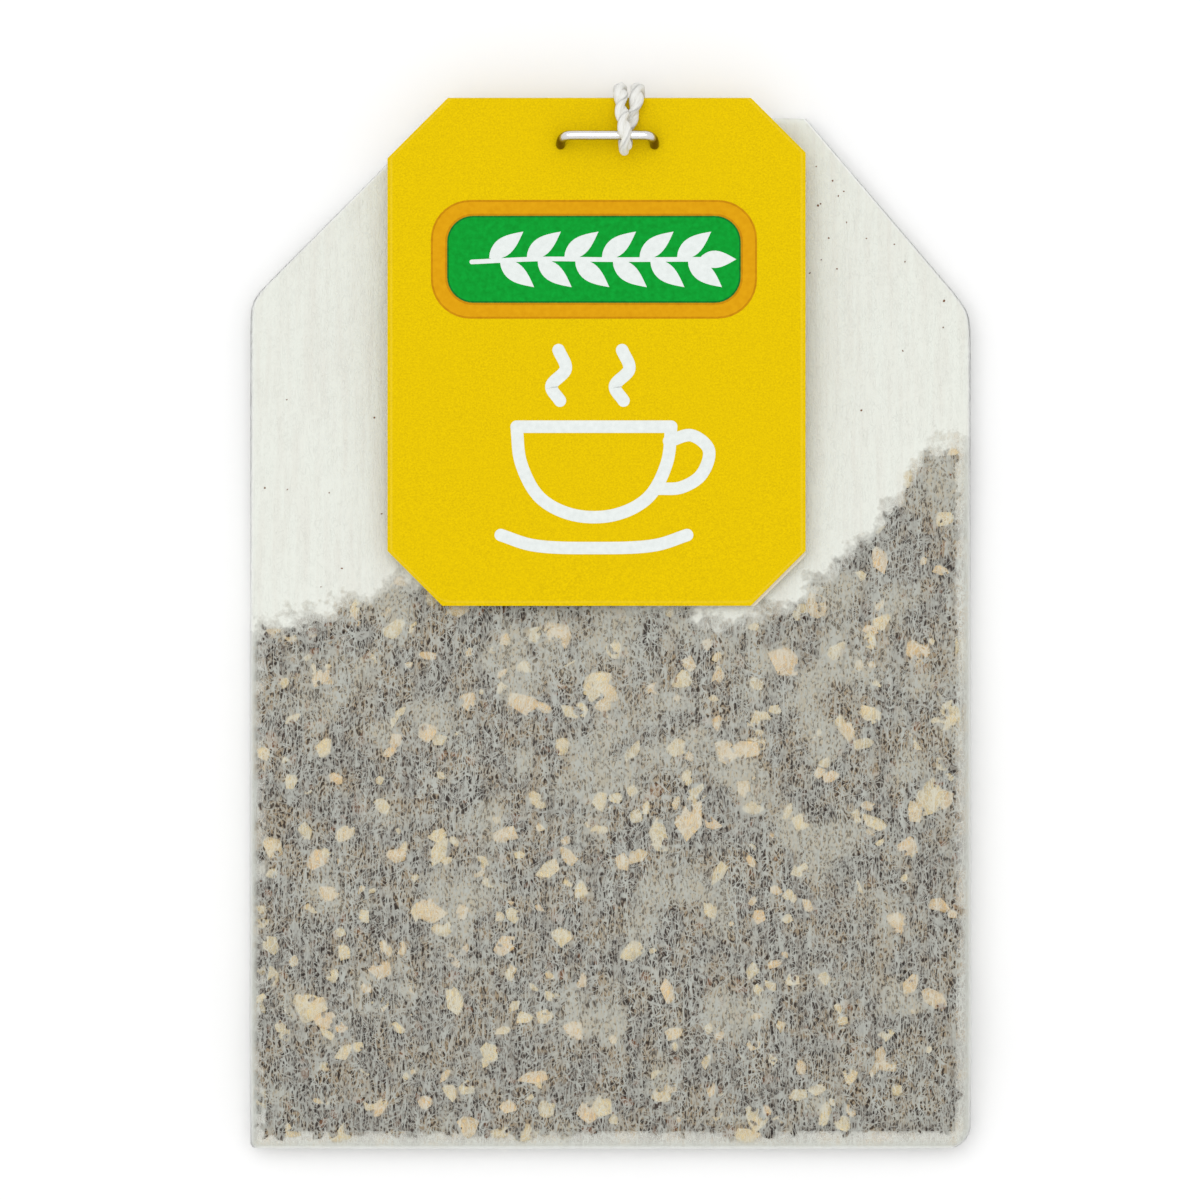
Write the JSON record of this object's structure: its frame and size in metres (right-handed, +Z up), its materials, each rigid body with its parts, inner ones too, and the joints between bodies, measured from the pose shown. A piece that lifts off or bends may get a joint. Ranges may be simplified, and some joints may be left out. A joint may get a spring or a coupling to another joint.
{
  "type": "tea bag",
  "caption": "Double-chamber filter-paper bag of tea, folded and stapled at its head, with a folded card tag on a cotton string.",
  "frame": {"origin": "under the middle of the bag and tag, on the surface that the bag lies on", "axes": "+Z up, away from the surface, +Y towards the stapled head, +X to the right as the tag is read"},
  "size_m": [0.05, 0.0739, 0.007],
  "materials": {
    "filter_paper": "soft matt fibrous filter paper, thin enough to show the tea",
    "tea": "dry cut leaf with pale ginger chips",
    "tag_card": "yellow coated card, faintly mottled, pale cut edges",
    "staple_wire": "bright bent wire",
    "string": "twisted cotton yarn"
  },
  "bodies": {
    "root": {"filter_paper_bag": "filter_paper", "tea_fill_front": "tea", "tea_fill_back": "tea", "tag_card": "tag_card", "tag_staple": "staple_wire", "bag_staple": "staple_wire", "string_tag_end": "string", "string_coil": "string", "string_bag_end": "string"}
  },
  "joints": []
}
